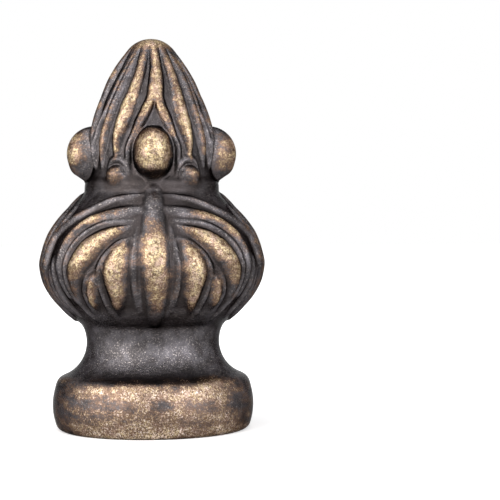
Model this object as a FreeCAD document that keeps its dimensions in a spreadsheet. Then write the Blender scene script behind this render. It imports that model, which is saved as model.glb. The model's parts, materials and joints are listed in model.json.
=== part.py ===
import FreeCAD, Part
import math
import os
import Sketcher

# Lamp finial: a cast top ornament, and the turned brass bush that is screwed
# into its base and takes the stud at the top of a lamp.
# Millimetres and degrees. The origin is the middle of the underside, +Z is up,
# and the palmette that is taken as the front of the bulb faces -Y. The carved
# part is built in flat facets, so that the carving stays light.

Vector = FreeCAD.Vector
ORIGIN = Vector(0, 0, 0)
UP = Vector(0, 0, 1)
ACROSS = Vector(1, 0, 0)

doc = FreeCAD.newDocument("lamp_finial")

# Driving sizes
SIZES = {
    # the plain outline of the casting, from the underside up
    "foot_face_radius": 7.72,
    "foot_edge_rise": 0.55,
    "foot_edge_swell": 0.16,
    "band_radius": 8.24,
    "band_height": 3.2,
    "band_swell": 0.25,
    "shoulder_radius": 7.6,
    "shoulder_rise": 0.92,
    "shoulder_swell": 0.22,
    "neck_wall": 0.69,
    "cove_height": 3.2,
    "cove_depth": 0.66,
    "neck_height": 1.0,
    "bulb_root_step": 0.16,
    "bulb_core_radius": 9.3,
    "bulb_lower_height": 5.15,
    "bulb_lower_swell": 0.84,
    "bulb_upper_height": 5.85,
    "bulb_upper_swell": 0.66,
    "waist_radius": 5.68,
    "waist_height": 0.95,
    "bud_root_radius": 5.25,
    "bud_step_rise": 0.4,
    "bud_crown_radius": 1.98,
    "bud_height": 10.4,
    "bud_swell": 0.88,
    "tip_rise": 1.3,
    "tip_swell": 0.42,
    "plain_turning_step": 1.5,
    "carved_turning_step": 2.2,
    "root_overlap": 0.8,
    "tip_flat_radius": 0.4,
    # the carving that stands on it
    "facet_length": 2.0,
    "lobe_relief": 0.42,
    "rib_relief": 0.36,
    "centre_lobe_half_width": 1.25,
    "tear_half_width": 1.0,
    "drop_half_width": 0.52,
    "inner_frond_half_width": 1.0,
    "outer_frond_half_width": 0.6,
    "side_lobe_half_width": 1.3,
    "side_leaf_half_width": 0.95,
    "crest_rib_half_width": 0.5,
    "hood_arm_half_width": 0.34,
    "long_rib_half_width": 0.58,
    "slim_rib_half_width": 0.44,
    "bead_half_width": 1.66,
    "bead_half_height": 2.15,
    "bead_half_depth": 2.36,
    "bead_sink": 0.24,
    "bead_rise": 1.9,
    "berry_radius": 0.95,
    "berry_height": 1.05,
    "berry_rise": 0.34,
    "berry_stand": 0.05,
    # the bush
    "flange_overhang": 0.6,
    "flange_thickness": 1.0,
    "relief_depth": 0.6,
    "relief_height": 1.9,
    "thread_radius": 4.9,
    "thread_length": 4.0,
    "thread_chamfer": 0.4,
    "bush_wall": 2.15,
    "stud_bore_chamfer": 0.35,
    "flange_chamfer": 0.15,
    # how the bush sits in the casting
    "thread_clearance": 0.05,
    "flange_clearance": 0.08,
    "end_clearance": 0.15,
    "stud_room_clearance": 0.65,
    "stud_room_height": 4.4,
    "drill_point_height": 1.6,
}
sheet = doc.addObject("Spreadsheet::Sheet", "sizes")
for row, (alias, value) in enumerate(SIZES.items(), start=1):
    sheet.set(f"A{row}", alias)
    sheet.set(f"B{row}", str(value))
    sheet.setAlias(f"B{row}", alias)
doc.recompute()


def size(alias):
    return float(sheet.get(alias))


def bind_constraint(sketch, index, expression):
    sketch.setExpression(f"Constraints[{index}]", expression)


# The outline of the casting as corners. Each has the cells that add up to its
# radius, the cell of its rise from the corner before, and the cell by which an
# arc from the corner before swells out of its chord: SWELL bulges, HOLLOW is a
# cove. The neck is a wall round the hole that takes the bush's thread.
SWELL = 1
HOLLOW = -1
THREAD_HOLE = ("thread_radius", "thread_clearance")
NECK = (*THREAD_HOLE, "neck_wall")
OUTLINE = {
    "foot_face": (("foot_face_radius",), None, None, SWELL),
    "band_bottom": (("band_radius",), "foot_edge_rise", "foot_edge_swell", SWELL),
    "band_top": (("band_radius",), "band_height", "band_swell", SWELL),
    "shoulder": (("shoulder_radius",), "shoulder_rise", "shoulder_swell", SWELL),
    "neck": (NECK, "cove_height", "cove_depth", HOLLOW),
    "bulb_root": ((*NECK, "bulb_root_step"), "neck_height", None, SWELL),
    "bulb_widest": (
        ("bulb_core_radius",),
        "bulb_lower_height",
        "bulb_lower_swell",
        SWELL,
    ),
    "bulb_top": (("waist_radius",), "bulb_upper_height", "bulb_upper_swell", SWELL),
    "waist": (("waist_radius",), "waist_height", None, SWELL),
    "bud_root": (("bud_root_radius",), "bud_step_rise", None, SWELL),
    "bud_crown": (("bud_crown_radius",), "bud_height", "bud_swell", SWELL),
    "apex": ((), "tip_rise", "tip_swell", SWELL),
}


def corner_points():
    """Each corner of the outline as (radius, height), by its name."""
    points = {}
    height = 0.0
    for name, (radius_cells, rise_cell, _, _) in OUTLINE.items():
        if rise_cell:
            height += size(rise_cell)
        points[name] = (sum(size(cell) for cell in radius_cells), height)
    return points


def arc_radius(low, high, swell):
    """Radius of the arc that swells out of the chord from low to high."""
    half_chord = math.dist(low, high) / 2
    return (half_chord**2 + swell**2) / (2 * swell)


def arc_middle(low, high, swell, side):
    """Middle point of that arc, outwards for SWELL and inwards for HOLLOW."""
    chord = math.dist(low, high)
    outwards = ((high[1] - low[1]) / chord, (low[0] - high[0]) / chord)
    return (
        (low[0] + high[0]) / 2 + side * swell * outwards[0],
        (low[1] + high[1]) / 2 + side * swell * outwards[1],
    )


CORNERS = corner_points()
NAMES = list(OUTLINE)
BULB_LEVELS = (CORNERS["bulb_root"][1], CORNERS["bulb_top"][1])
BUD_LEVELS = (CORNERS["bud_root"][1], CORNERS["apex"][1])


def outline_radius(height):
    """Radius of the plain outline at a height."""
    for below, name in zip(NAMES, NAMES[1:]):
        low = CORNERS[below]
        high = CORNERS[name]
        if height <= high[1]:
            break
    swell_cell, side = OUTLINE[name][2:]
    if swell_cell is None:
        share = (height - low[1]) / (high[1] - low[1])
        return low[0] + share * (high[0] - low[0])
    radius = arc_radius(low, high, size(swell_cell))
    middle = arc_middle(low, high, size(swell_cell), side)
    chord = math.dist(low, high)
    outwards = ((high[1] - low[1]) / chord, (low[0] - high[0]) / chord)
    centre = (
        middle[0] - side * radius * outwards[0],
        middle[1] - side * radius * outwards[1],
    )
    return centre[0] + side * math.sqrt(radius**2 - (height - centre[1]) ** 2)


def add_sketch(body, name):
    """A sketch on the upright plane of the body, with its height along Z."""
    sketch = body.newObject("Sketcher::SketchObject", name)
    planes = [f for f in body.Origin.OriginFeatures if f.Role == "XZ_Plane"]
    sketch.AttachmentSupport = [(planes[0], "")]
    sketch.MapMode = "FlatFace"
    return sketch


def line(start, end):
    return Part.LineSegment(Vector(*start, 0), Vector(*end, 0))


def closed_chain(sketch, geometry):
    """Add edges that follow each other from the origin back to it, joined at
    their ends. Returns the vertex number at the end of each edge."""
    ends = []
    for number, edge in enumerate(geometry):
        sketch.addGeometry(edge)
        near = ORIGIN if number == 0 else sketch.getPoint(number - 1, ends[-1])
        start = 1 if (sketch.getPoint(number, 1) - near).Length < 1e-6 else 2
        ends.append(3 - start)
        before = (-1, 1) if number == 0 else (number - 1, ends[-2])
        sketch.addConstraint(
            Sketcher.Constraint("Coincident", number, start, *before)
        )
    sketch.addConstraint(
        Sketcher.Constraint("Coincident", len(geometry) - 1, ends[-1], -1, 1)
    )
    return ends


# Casting blank
def draw_outline():
    """The outline of the casting, closed along its axis."""
    sketch = doc.addObject("Sketcher::SketchObject", "casting_outline")
    points = list(CORNERS.values())
    edges = [line((0, 0), points[0])]
    for low, high, name in zip(points, points[1:], NAMES[1:]):
        swell_cell, side = OUTLINE[name][2:]
        if swell_cell is None:
            edges.append(line(low, high))
        else:
            middle = arc_middle(low, high, size(swell_cell), side)
            edges.append(Part.Arc(*[Vector(*p, 0) for p in (low, middle, high)]))
    edges.append(line(points[-1], (0, 0)))
    ends = closed_chain(sketch, edges)
    sketch.addConstraint(Sketcher.Constraint("Horizontal", 0))
    widths = [" + ".join(f"sizes.{cell}" for cell in row[0]) for row in OUTLINE.values()]
    for index, (_, rise_cell, swell_cell, _) in enumerate(OUTLINE.values()):
        point = (index, ends[index])
        if widths[index]:
            added = sketch.addConstraint(
                Sketcher.Constraint("DistanceX", -1, 1, *point, points[index][0])
            )
            bind_constraint(sketch, added, widths[index])
        else:
            sketch.addConstraint(Sketcher.Constraint("PointOnObject", *point, -2))
        if rise_cell:
            before = (index - 1, ends[index - 1])
            added = sketch.addConstraint(
                Sketcher.Constraint("DistanceY", *before, *point, size(rise_cell))
            )
            bind_constraint(sketch, added, f"sizes.{rise_cell}")
        if swell_cell:
            radius = arc_radius(points[index - 1], points[index], size(swell_cell))
            added = sketch.addConstraint(
                Sketcher.Constraint("Radius", index, radius)
            )
            step = f"({widths[index - 1]})"
            if widths[index]:
                step = f"({widths[index - 1]} - ({widths[index]}))"
            swell = f"sizes.{swell_cell}"
            quarter = f"({step}^2 + sizes.{rise_cell}^2) / 4"
            bind_constraint(
                sketch, added, f"({quarter} + {swell}^2) / (2 * {swell})"
            )
    doc.recompute()
    return sketch


FLATS = 40
FLATNESS = 1e-6


def faceted_solid(rings):
    """A solid with a skin of flat faces over rings of as many points each,
    closed by its first and last ring. A twisted face is split in two."""

    def face(*corners):
        return Part.Face(Part.makePolygon([*corners, corners[0]]))

    skin = [face(*rings[0]), face(*rings[-1])]
    for near, far in zip(rings, rings[1:]):
        for a, b, c, d in zip(near, near[1:] + near[:1], far[1:] + far[:1], far):
            if abs((b - a).cross(d - a).normalize().dot(c - a)) < FLATNESS:
                skin.append(face(a, b, c, d))
            else:
                skin += [face(a, b, c), face(a, c, d)]
    solid = Part.makeSolid(Part.makeShell(skin))
    return solid if solid.Volume > 0 else solid.reversed()


def stepped_outline(sketch):
    """Points along the outline from its foot to its tip, with each round
    stretch in short straight steps."""
    points = []
    for edge in sketch.Shape.Wires[0].OrderedEdges[1:-1]:
        ends = [v.Point for v in edge.Vertexes]
        straight = edge.Length - (ends[0] - ends[1]).Length < 1e-6
        carved = max(end.y for end in ends) > BULB_LEVELS[0] + 1e-6
        step = size("carved_turning_step") if carved else size("plain_turning_step")
        count = 1 if straight else max(2, round(edge.Length / step))
        run = edge.discretize(Number=count + 1)
        if edge.Orientation == "Reversed":
            run.reverse()
        points += run if not points else run[1:]
    return [(max(point.x, 0), point.y) for point in points]


def make_blank():
    """The plain form that the carving stands on: the foot and neck turned
    round, and the bulb and bud above them in flats, like the carving."""
    run = stepped_outline(draw_outline())
    plain = [point for point in run if point[1] < BULB_LEVELS[0] + 1e-6]
    carved = [point for point in run if point[1] > BULB_LEVELS[0] - 1e-6]
    overlap = size("root_overlap")

    def beyond(end, before):
        reach = overlap / math.dist(end, before)
        return tuple(e + reach * (e - b) for e, b in zip(end, before))

    neck_end = beyond(plain[-1], plain[-2])
    section = [(0, 0), *plain, neck_end, (0, neck_end[1])]
    profile = Part.makePolygon([Vector(r, 0, z) for r, z in section + section[:1]])
    foot = Part.makeSolid(Part.Face(profile).revolve(ORIGIN, UP, 360))
    levels = [beyond(carved[0], carved[1]), *carved[:-1]]
    levels.append((size("tip_flat_radius"), carved[-1][1]))
    rings = []
    for radius, height in levels:
        corners = [math.tau * number / FLATS for number in range(FLATS)]
        rings.append(
            [Vector(radius * math.sin(c), radius * math.cos(c), height) for c in corners]
        )
    blank = doc.addObject("Part::MultiFuse", "casting_blank")
    blank.Shapes = [
        add_solid("turned_foot", foot),
        add_solid("bulb_and_bud", faceted_solid(rings)),
    ]
    return blank


def add_solid(name, shape):
    feature = doc.addObject("Part::Feature", name)
    feature.Shape = shape
    return feature


def add_stepped_turning(body, name, corners, radius_rules, rise_rules):
    """Turn a body from a stepped outline that starts and ends on the axis.
    The rules give the expression of a radius, or of a rise, by corner."""
    sketch = add_sketch(body, f"{name}_outline")
    edges = [line(a, b) for a, b in zip(corners, corners[1:] + corners[:1])]
    ends = closed_chain(sketch, edges)
    for number, (start, end) in enumerate(zip(corners, corners[1:])):
        if start[1] == end[1]:
            sketch.addConstraint(Sketcher.Constraint("Horizontal", number))
        elif start[0] == end[0]:
            sketch.addConstraint(Sketcher.Constraint("Vertical", number))
    for corner, rule in radius_rules.items():
        point = (corner - 1, ends[corner - 1])
        added = sketch.addConstraint(
            Sketcher.Constraint("DistanceX", -1, 1, *point, corners[corner][0])
        )
        bind_constraint(sketch, added, rule)
    for corner, rule in rise_rules.items():
        point = (corner - 1, ends[corner - 1])
        before = (corner - 2, ends[corner - 2])
        rise = corners[corner][1] - corners[corner - 1][1]
        added = sketch.addConstraint(
            Sketcher.Constraint("DistanceY", *before, *point, rise)
        )
        bind_constraint(sketch, added, rule)
    last = len(corners) - 2
    sketch.addConstraint(Sketcher.Constraint("PointOnObject", last, ends[last], -2))
    turned = body.newObject("PartDesign::Revolution", name)
    turned.Profile = sketch
    turned.ReferenceAxis = (sketch, ["V_Axis"])
    turned.Angle = 360
    doc.recompute()


# The bush is a wall inside its thread, and its bore takes the stud
STUD_BORE = "sizes.thread_radius - sizes.bush_wall"


def stud_bore_radius():
    return size("thread_radius") - size("bush_wall")


def make_seat_room():
    """The stepped hole up the middle of the casting: a counterbore for the
    flange, the hole for the thread, and a drilled room for the stud's end."""
    thread = size("thread_radius") + size("thread_clearance")
    flange = size("thread_radius") + size("flange_overhang") + size("flange_clearance")
    room = stud_bore_radius() + size("stud_room_clearance")
    seat = size("flange_thickness")
    thread_end = (
        seat + size("relief_height") + size("thread_length") + size("end_clearance")
    )
    room_end = thread_end + size("stud_room_height")
    tip = room_end + size("drill_point_height")
    body = doc.addObject("PartDesign::Body", "seat_room")
    add_stepped_turning(
        body,
        "seat_steps",
        [
            (0, 0),
            (flange, 0),
            (flange, seat),
            (thread, seat),
            (thread, thread_end),
            (room, thread_end),
            (room, room_end),
            (0, tip),
        ],
        {
            1: "sizes.thread_radius + sizes.flange_overhang + sizes.flange_clearance",
            3: "sizes.thread_radius + sizes.thread_clearance",
            5: f"{STUD_BORE} + sizes.stud_room_clearance",
        },
        {
            2: "sizes.flange_thickness",
            4: "sizes.relief_height + sizes.thread_length + sizes.end_clearance",
            6: "sizes.stud_room_height",
            7: "sizes.drill_point_height",
        },
    )
    return body


# Carving: long rounded forms laid on the outline
def surface_frame(angle, height):
    """Point and outward normal of the outline. The angle is seen from the
    front, in degrees towards +X."""
    step = 0.01
    radius = outline_radius(height)
    slope = (outline_radius(height + step) - outline_radius(height - step)) / (2 * step)
    turn = math.radians(angle)
    outwards = Vector(math.sin(turn), -math.cos(turn), 0)
    point = outwards * radius + UP * height
    upwards = (outwards * slope + UP).normalize()
    sideways = Vector(math.cos(turn), math.sin(turn), 0)
    return point, sideways.cross(upwards)


BLUNTNESS = 0.7


def bulge(share, widest, bluntness):
    """0 at both ends of a form and 1 at its widest place."""
    power = math.log(0.5) / math.log(widest)
    return math.sin(math.pi * share**power) ** bluntness


MIN_SPANS = 3
END_SHARE = 0.03

# Half of the outline of a section: share of the half width, share of the rise
ROUND_BACK = [(1, 0), (0.6, 0.78)]
RIDGE_BACK = [(1, 0)]


def laid_form(path, levels, half_width, relief, widest=0.5, back=ROUND_BACK):
    """A carved form along a path on the outline. The path is a short list of
    (angle, share of the height between the two levels). Its ends dive under
    the surface, so that no end face shows."""
    low, high = levels
    spine = Part.BSplineCurve()
    spine.interpolate(
        [surface_frame(angle, low + share * (high - low))[0] for angle, share in path]
    )
    first, last = spine.FirstParameter, spine.LastParameter

    def on_surface(share):
        at = spine.value(first + share * (last - first))
        return surface_frame(math.degrees(math.atan2(at.x, -at.y)), at.z)

    half = back + [(0, 1)]
    section = half + [(-side, rise) for side, rise in reversed(back)] + [(0, -1)]
    spans = round(max(MIN_SPANS, spine.length() / size("facet_length")))
    rings = []
    for number in range(spans + 1):
        share = END_SHARE + (1 - 2 * END_SHARE) * number / spans
        point, normal = on_surface(share)
        ahead = on_surface(share + END_SHARE / 2)[0] - on_surface(share - END_SHARE / 2)[0]
        side = normal.cross(ahead).normalize()
        full = bulge(share, widest, BLUNTNESS)
        sink = relief * (0.3 + 0.9 * (1 - full) ** 2)
        rise = relief * (0.55 + 0.75 * full)
        rings.append(
            [
                point + side * (across * half_width * full) + normal * (up * rise - sink)
                for across, up in section
            ]
        )
    return faceted_solid(rings)


def add_carving(name, form, turns=(0, 180), mirrored=True):
    """Copies of one form round the axis, and their mirror images, as a list."""
    copies = []
    for turn in turns:
        copy = form.copy()
        copy.rotate(ORIGIN, UP, turn)
        copies.append(copy)
    if mirrored:
        copies += [copy.mirror(ORIGIN, ACROSS) for copy in copies]
    return [add_solid(f"{name}_{n}", copy) for n, copy in enumerate(copies, start=1)]


FRONT_AND_BACK = (0, 180)
BERRY_ANGLE = 35
BOTH_SIDES = (90, 270)
ALL_ROUND = (0, 90, 180, 270)

# The palmette of the bulb: angle from its middle, share of the bulb's height
PALMETTE = {
    "centre_lobe": ([(0, 0.04), (0, 0.45), (0, 0.9)], 0.42, ROUND_BACK, False),
    "tear": (
        [(17.5, 0.06), (20.3, 0.3), (19.5, 0.48), (12, 0.64)],
        0.5,
        ROUND_BACK,
        True,
    ),
    "drop": ([(35, 0.08), (35, 0.2), (30, 0.41)], 0.45, RIDGE_BACK, True),
    "inner_frond": (
        [(50, 0.12), (46, 0.31), (36.5, 0.56), (24, 0.7), (13.5, 0.745)],
        0.52,
        ROUND_BACK,
        True,
    ),
    "outer_frond": (
        [(57, 0.2), (55.5, 0.48), (47, 0.7), (32, 0.82), (9, 0.87)],
        0.5,
        RIDGE_BACK,
        True,
    ),
}


def make_bulb_carving():
    carving = []
    relief = size("lobe_relief")
    for name, (path, widest, back, mirrored) in PALMETTE.items():
        width = size(f"{name}_half_width")
        form = laid_form(path, BULB_LEVELS, width, relief, widest, back)
        carving.append(add_carving(name, form, FRONT_AND_BACK, mirrored))
    side_lobe = laid_form(
        [(0, 0.05), (0, 0.5), (0, 0.95)],
        BULB_LEVELS,
        size("side_lobe_half_width"),
        relief,
    )
    carving.append(add_carving("side_lobe", side_lobe, BOTH_SIDES, False))
    side_leaf = laid_form(
        [(13, 0.08), (16, 0.5), (20, 0.9)],
        BULB_LEVELS,
        size("side_leaf_half_width"),
        relief,
    )
    carving.append(add_carving("side_leaf", side_leaf, BOTH_SIDES, True))
    return carving


def make_bud_carving():
    carving = []
    relief = size("rib_relief")
    crest_rib = laid_form(
        [(0, 0.5), (0, 0.7), (0, 0.93)],
        BUD_LEVELS,
        size("crest_rib_half_width"),
        relief,
        0.4,
        RIDGE_BACK,
    )
    carving.append(add_carving("crest_rib", crest_rib, ALL_ROUND, False))
    hood_arm = laid_form(
        [(5, 0.6), (13.5, 0.4), (20, 0.3), (25.5, 0.12)],
        BUD_LEVELS,
        size("hood_arm_half_width"),
        relief,
        0.5,
        RIDGE_BACK,
    )
    carving.append(add_carving("hood_arm", hood_arm, ALL_ROUND, True))
    long_rib = laid_form(
        [(25, 0.93), (27.5, 0.65), (30, 0.4), (36, 0.14)],
        BUD_LEVELS,
        size("long_rib_half_width"),
        relief,
        0.72,
        RIDGE_BACK,
    )
    carving.append(add_carving("long_rib", long_rib))
    slim_rib = laid_form(
        [(48, 0.92), (49, 0.65), (53, 0.35), (57, 0.08)],
        BUD_LEVELS,
        size("slim_rib_half_width"),
        relief,
        0.6,
        RIDGE_BACK,
    )
    carving.append(add_carving("slim_rib", slim_rib))
    return carving


BEAD_STEPS = 4
BEAD_SIDES = 10
BEAD_BACK = -20
BEAD_TIP = 82


def oval_bead(half_width, half_height, half_depth):
    """A bead that points to -Y from the origin, as rings from its buried back
    to its tip, by the angle at which each ring lies on the oval."""
    rings = []
    for number in range(BEAD_STEPS + 1):
        share = number / BEAD_STEPS
        lean = math.radians(BEAD_BACK + (BEAD_TIP - BEAD_BACK) * share)
        centre = Vector(0, -half_depth * math.sin(lean), 0)
        ring = []
        for side in range(BEAD_SIDES):
            turn = 2 * math.pi * side / BEAD_SIDES
            across = ACROSS * (half_width * math.cos(lean) * math.sin(turn))
            up = UP * (half_height * math.cos(lean) * math.cos(turn))
            ring.append(centre + across + up)
        rings.append(ring)
    return faceted_solid(rings)


def make_beads():
    """Four large oval beads and four small round ones at the root of the bud."""
    bead = oval_bead(
        size("bead_half_width"), size("bead_half_height"), size("bead_half_depth")
    )
    level = BUD_LEVELS[0] + size("bead_rise")
    bead.translate(Vector(0, size("bead_sink") - outline_radius(level), level))
    berry = oval_bead(
        size("berry_radius"), size("berry_height"), size("berry_radius")
    )
    level = BUD_LEVELS[0] + size("berry_rise")
    berry.translate(Vector(0, -size("berry_stand") - outline_radius(level), level))
    berry.rotate(ORIGIN, UP, BERRY_ANGLE)
    return [
        add_carving("bead", bead, ALL_ROUND, False),
        add_carving("berry", berry, FRONT_AND_BACK, True),
    ]


def make_casting():
    """The blank with all of its carving laid on, and its hole cut."""
    seat_room = make_seat_room()
    carved = doc.addObject("Part::MultiFuse", "carved_casting")
    blank = make_blank()
    carving = make_beads() + make_bulb_carving() + make_bud_carving()
    carved.Shapes = [blank] + [copy for copies in carving for copy in copies]
    casting = doc.addObject("Part::Cut", "finial_casting")
    casting.Base = carved
    casting.Tool = seat_room
    return casting


# Threaded bush: a bar-turned brass reducer. The threads themselves are plain
# cylinders of their outer and bore sizes.
def make_bush():
    thread = size("thread_radius")
    flange = thread + size("flange_overhang")
    flange_top = size("flange_thickness")
    relief = thread - size("relief_depth")
    relief_top = flange_top + size("relief_height")
    top = relief_top + size("thread_length")
    bore_radius = stud_bore_radius()
    body = doc.addObject("PartDesign::Body", "threaded_bush")
    add_stepped_turning(
        body,
        "bush_steps",
        [
            (0, 0),
            (flange, 0),
            (flange, flange_top),
            (relief, flange_top),
            (relief, relief_top),
            (thread, relief_top),
            (thread, top),
            (0, top),
        ],
        {
            1: "sizes.thread_radius + sizes.flange_overhang",
            3: "sizes.thread_radius - sizes.relief_depth",
            5: "sizes.thread_radius",
        },
        {
            2: "sizes.flange_thickness",
            4: "sizes.relief_height",
            6: "sizes.thread_length",
        },
    )
    circle = body.newObject("Sketcher::SketchObject", "stud_bore_outline")
    planes = [f for f in body.Origin.OriginFeatures if f.Role == "XY_Plane"]
    circle.AttachmentSupport = [(planes[0], "")]
    circle.MapMode = "FlatFace"
    circle.addGeometry(Part.Circle(ORIGIN, UP, bore_radius))
    circle.addConstraint(Sketcher.Constraint("Coincident", 0, 3, -1, 1))
    added = circle.addConstraint(Sketcher.Constraint("Radius", 0, bore_radius))
    bind_constraint(circle, added, STUD_BORE)
    solid_volume = body.Shape.Volume
    bore = body.newObject("PartDesign::Pocket", "stud_bore")
    bore.Profile = circle
    bore.Reversed = True
    bore.Type = 1
    doc.recompute()
    expected = math.pi * bore_radius**2 * top
    if abs(solid_volume - body.Shape.Volume - expected) > 0.01 * expected:
        raise RuntimeError("the bore of the bush was not cut through")

    add_chamfer(
        body, "thread_lead", "thread_chamfer", [(size("thread_radius"), top)]
    )
    add_chamfer(
        body, "bore_mouths", "stud_bore_chamfer", [(bore_radius, 0), (bore_radius, top)]
    )
    add_chamfer(body, "flange_edge", "flange_chamfer", [(flange, 0)])
    return body


def add_chamfer(body, name, alias, rings):
    """Chamfer the round edges that have these (radius, height) pairs."""
    before = body.Tip
    chosen = []
    for number, edge in enumerate(before.Shape.Edges, start=1):
        if edge.Curve.TypeId != "Part::GeomCircle":
            continue
        for radius, height in rings:
            level = edge.Curve.Center.z - height
            if abs(edge.Curve.Radius - radius) < 1e-4 and abs(level) < 1e-4:
                chosen.append(f"Edge{number}")
    chamfer = body.newObject("PartDesign::Chamfer", name)
    chamfer.Base = (before, chosen)
    chamfer.setExpression("Size", f"sizes.{alias}")
    doc.recompute()


threaded_bush = make_bush()
finial_casting = make_casting()
doc.recompute()

SUB_PARTS = [finial_casting, threaded_bush]
for item in doc.Objects:
    if "Invalid" in item.State or "Error" in item.State:
        raise RuntimeError(f"{item.Label} failed")
for item in SUB_PARTS:
    if item.Shape.isNull() or not item.Shape.isValid():
        raise RuntimeError(f"{item.Label} has no valid shape")

os.makedirs("parts", exist_ok=True)
for item in SUB_PARTS:
    item.Shape.exportStep(f"parts/{item.Label}.step")
    print(item.Label, len(item.Shape.Solids), "solid,", round(item.Shape.Volume, 1), "mm3")
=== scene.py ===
# %% [markdown]
# # A small cast lamp finial
#
# The finial is one brass casting: a round foot, a coved neck, a bulb carved
# with palmettes, and a bud with beads round its root. A turned brass bush sits
# in its base and takes the stud of the lamp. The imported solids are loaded
# first as a fixed frame. They give each piece its place, its real size and
# the body that it moves with.

# %% Load the frame
import json
import math

import bmesh
import bpy
import numpy as np
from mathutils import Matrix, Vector

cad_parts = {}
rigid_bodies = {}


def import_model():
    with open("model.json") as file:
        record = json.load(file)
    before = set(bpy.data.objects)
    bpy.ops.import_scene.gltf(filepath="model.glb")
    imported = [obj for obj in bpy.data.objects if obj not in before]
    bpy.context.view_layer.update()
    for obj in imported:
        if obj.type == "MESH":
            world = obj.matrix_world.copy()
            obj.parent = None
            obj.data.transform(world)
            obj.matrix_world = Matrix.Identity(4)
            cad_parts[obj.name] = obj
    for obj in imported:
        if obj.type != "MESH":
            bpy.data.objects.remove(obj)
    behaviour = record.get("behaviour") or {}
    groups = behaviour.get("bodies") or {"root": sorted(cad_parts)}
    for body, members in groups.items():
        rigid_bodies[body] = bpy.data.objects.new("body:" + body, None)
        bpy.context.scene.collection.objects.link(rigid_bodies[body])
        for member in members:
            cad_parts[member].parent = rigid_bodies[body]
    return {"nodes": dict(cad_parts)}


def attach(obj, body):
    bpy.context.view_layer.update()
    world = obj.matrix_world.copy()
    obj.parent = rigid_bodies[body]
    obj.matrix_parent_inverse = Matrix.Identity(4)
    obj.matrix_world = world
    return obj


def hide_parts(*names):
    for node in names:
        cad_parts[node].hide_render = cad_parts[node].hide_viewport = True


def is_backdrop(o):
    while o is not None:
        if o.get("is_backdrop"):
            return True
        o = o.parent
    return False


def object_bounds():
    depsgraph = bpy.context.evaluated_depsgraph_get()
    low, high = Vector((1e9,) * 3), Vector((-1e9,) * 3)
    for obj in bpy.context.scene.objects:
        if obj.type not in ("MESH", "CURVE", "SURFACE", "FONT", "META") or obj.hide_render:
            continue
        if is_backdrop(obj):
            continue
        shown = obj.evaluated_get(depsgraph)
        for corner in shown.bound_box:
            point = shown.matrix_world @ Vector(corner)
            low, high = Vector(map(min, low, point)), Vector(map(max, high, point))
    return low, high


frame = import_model()
cad_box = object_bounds()
print("frame nodes:", sorted(frame["nodes"]))

# %% [markdown]
# ## The outline of the casting
#
# A turned or spun form is drawn as half of its section. The real pattern was
# turned before it was carved, so the same is done here: straight stretches and
# arcs from the foot to the tip, in millimetres. A little smoothing then rounds
# every corner the way molten metal and a polishing wheel round it. The corner
# under the bulb is hard to reach with a wheel and keeps a softer fillet. Here
# and below, a pair of lists is a curve: the places, and its value at each.

# %% Outline
MM = 0.001

# radius, height, and how far the arc from the point before swells outwards
OUTLINE = [
    (7.72, 0.0, 0.0),
    (8.24, 0.55, 0.16),
    (8.24, 3.75, 0.25),
    (7.5, 4.62, 0.2),
    (5.64, 7.87, -0.66),
    (5.8, 8.87, 0.0),
    (9.3, 14.02, 0.84),
    (5.68, 19.87, 0.66),
    (5.68, 20.82, 0.0),
    (5.25, 21.22, 0.0),
    (1.98, 31.62, 0.88),
    (0.0, 32.92, 0.42),
]
BULB = (8.87, 20.02)  # heights between which the bulb is carved
BUD = (21.22, 32.92)  # and the bud
OUTLINE_STEP = 0.02
CORNER_ROUNDING = 0.22
CRISP_TIP = (2.0, 0.2)  # the rounding fades out over this stretch before the tip
UNDER_BULB = ([7.4, 8.4, 9.4, 10.4], [0, 1, 1, 0])  # where the softer fillet is
UNDER_BULB_ROUNDING = 2.6  # times the rounding of the other corners


def arc_run(low, high, swell):
    """Points along an arc that swells out of the chord from low to high."""
    low, high = np.array(low), np.array(high)
    chord = np.linalg.norm(high - low)
    count = max(2, int(chord / OUTLINE_STEP))
    share = np.linspace(0, 1, count, endpoint=False)[:, None]
    straight = low + (high - low) * share
    if swell == 0:
        return straight
    radius = (chord**2 / 4 + swell**2) / (2 * abs(swell))
    along = (share - 0.5) * chord
    height = np.sqrt(radius**2 - along**2) - (radius - abs(swell))
    outwards = np.array([high[1] - low[1], low[0] - high[0]]) / chord
    return straight + outwards * height * math.copysign(1, swell)


def smooth_run(values, width):
    """Running average with a bell-shaped weight; the ends are held."""
    reach = int(4 * width)
    weight = np.exp(-0.5 * (np.arange(-reach, reach + 1) / width) ** 2)
    weight /= weight.sum()
    before = 2 * values[0] - values[reach:0:-1]
    after = 2 * values[-1] - values[-2:-reach - 2:-1]
    return np.convolve(np.concatenate([before, values, after]), weight, "valid")


# %% Smoothed outline
def casting_outline():
    """Radius and height along the smoothed outside, and the distance along it."""
    runs = [arc_run(a[:2], b[:2], b[2]) for a, b in zip(OUTLINE, OUTLINE[1:])]
    run = np.concatenate(runs + [np.array([OUTLINE[-1][:2]])])
    pieces = np.linalg.norm(np.diff(run, axis=0), axis=1)
    length = np.concatenate([[0], np.cumsum(pieces)])
    even = np.linspace(0, length[-1], int(length[-1] / OUTLINE_STEP))
    radius = np.interp(even, length, run[:, 0])
    height = np.interp(even, length, run[:, 1])
    width = CORNER_ROUNDING / (even[1] - even[0])
    tip = np.interp(even, even[-1] - np.array(CRISP_TIP), [0, 1])
    fillet = np.interp(height, *UNDER_BULB)
    smoothed = []
    for values in (radius, height):
        soft = smooth_run(values, UNDER_BULB_ROUNDING * width)
        rounded = smooth_run(values, width) * (1 - tip) + values * tip
        smoothed.append(rounded + (soft - rounded) * fillet)
    return *smoothed, even


outline_radius, outline_height, outline_length = casting_outline()
print("outline:", round(outline_length[-1], 2), "mm long,",
      "widest", round(outline_radius.max(), 2))

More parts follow.
